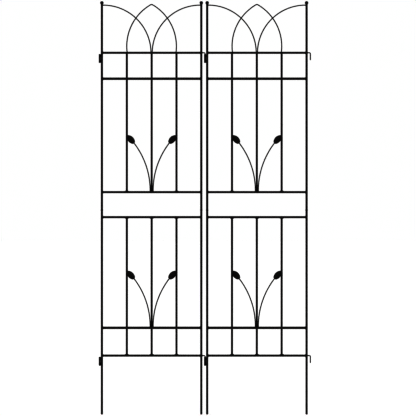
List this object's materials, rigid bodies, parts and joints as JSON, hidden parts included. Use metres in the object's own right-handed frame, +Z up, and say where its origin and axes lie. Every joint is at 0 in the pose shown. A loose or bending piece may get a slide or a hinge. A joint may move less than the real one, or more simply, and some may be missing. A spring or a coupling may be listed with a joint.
{
  "type": "linked garden trellis",
  "caption": "Flat garden trellis of black steel tube: linked panels with arched wire tops, leaf stems, ball finials, hook-and-sleeve hinges and lift-off upper sections.",
  "frame": {"origin": "on the ground, under the middle of the pair's outer box", "axes": "+X along the pair from panel A's sleeve side to panel B's hook side, +Y to the back, +Z up"},
  "size_m": [0.9238, 0.0208, 1.8],
  "materials": {
    "tube_coat": "black satin powder coat with a fine orange-peel texture",
    "wire_coat": "black satin powder coat on bent wire",
    "leaf_coat": "black satin powder coat on stamped sheet and wire",
    "finial_coat": "smooth black satin powder coat on a solid ball",
    "hinge_coat": "black satin powder coat, slightly rubbed where the hook turns in the sleeve"
  },
  "bodies": {
    "panel_a_lower": {"panel_a_lower_post_left": "tube_coat", "panel_a_lower_post_right": "tube_coat", "panel_a_lower_rail_top": "tube_coat", "panel_a_lower_rail_main": "tube_coat", "panel_a_lower_rail_bottom": "tube_coat", "panel_a_lower_bar_left": "tube_coat", "panel_a_lower_bar_middle": "tube_coat", "panel_a_lower_bar_right": "tube_coat", "panel_a_lower_leaf_stem_left": "leaf_coat", "panel_a_lower_leaf_stem_right": "leaf_coat", "panel_a_lower_hook": "hinge_coat", "panel_a_lower_sleeve": "hinge_coat"},
    "panel_a_upper": {"panel_a_upper_post_left": "tube_coat", "panel_a_upper_post_right": "tube_coat", "panel_a_upper_finial_left": "finial_coat", "panel_a_upper_finial_right": "finial_coat", "panel_a_upper_rail_top": "tube_coat", "panel_a_upper_rail_main": "tube_coat", "panel_a_upper_rail_bottom": "tube_coat", "panel_a_upper_bar_left": "tube_coat", "panel_a_upper_bar_middle": "tube_coat", "panel_a_upper_bar_right": "tube_coat", "panel_a_upper_side_arc_left": "wire_coat", "panel_a_upper_side_arc_right": "wire_coat", "panel_a_upper_pointed_arch": "wire_coat", "panel_a_upper_leaf_stem_left": "leaf_coat", "panel_a_upper_leaf_stem_right": "leaf_coat", "panel_a_upper_hook": "hinge_coat", "panel_a_upper_sleeve": "hinge_coat"},
    "panel_b_lower": {"panel_b_lower_post_left": "tube_coat", "panel_b_lower_post_right": "tube_coat", "panel_b_lower_rail_top": "tube_coat", "panel_b_lower_rail_main": "tube_coat", "panel_b_lower_rail_bottom": "tube_coat", "panel_b_lower_bar_left": "tube_coat", "panel_b_lower_bar_middle": "tube_coat", "panel_b_lower_bar_right": "tube_coat", "panel_b_lower_leaf_stem_left": "leaf_coat", "panel_b_lower_leaf_stem_right": "leaf_coat", "panel_b_lower_hook": "hinge_coat", "panel_b_lower_sleeve": "hinge_coat"},
    "panel_b_upper": {"panel_b_upper_post_left": "tube_coat", "panel_b_upper_post_right": "tube_coat", "panel_b_upper_finial_left": "finial_coat", "panel_b_upper_finial_right": "finial_coat", "panel_b_upper_rail_top": "tube_coat", "panel_b_upper_rail_main": "tube_coat", "panel_b_upper_rail_bottom": "tube_coat", "panel_b_upper_bar_left": "tube_coat", "panel_b_upper_bar_middle": "tube_coat", "panel_b_upper_bar_right": "tube_coat", "panel_b_upper_side_arc_left": "wire_coat", "panel_b_upper_side_arc_right": "wire_coat", "panel_b_upper_pointed_arch": "wire_coat", "panel_b_upper_leaf_stem_left": "leaf_coat", "panel_b_upper_leaf_stem_right": "leaf_coat", "panel_b_upper_hook": "hinge_coat", "panel_b_upper_sleeve": "hinge_coat"}
  },
  "joints": [
    {"name": "panel_swing", "type": "hinge", "parent": "panel_a_lower", "child": "panel_b_lower", "pos_m": [0.00103, -0.00295, 0.23125], "axis": [0, 0, 1], "range_deg": [-112, 112]},
    {"name": "panel_a_lift", "type": "slide", "parent": "panel_a_lower", "child": "panel_a_upper", "axis": [0, 0, 1], "range_m": [0, 0.06]},
    {"name": "panel_b_lift", "type": "slide", "parent": "panel_b_lower", "child": "panel_b_upper", "axis": [0, 0, 1], "range_m": [0, 0.06]}
  ],
  "couplings": [
    {"joint": "panel_b_lift", "follows": "panel_a_lift", "ratio": 1}
  ]
}
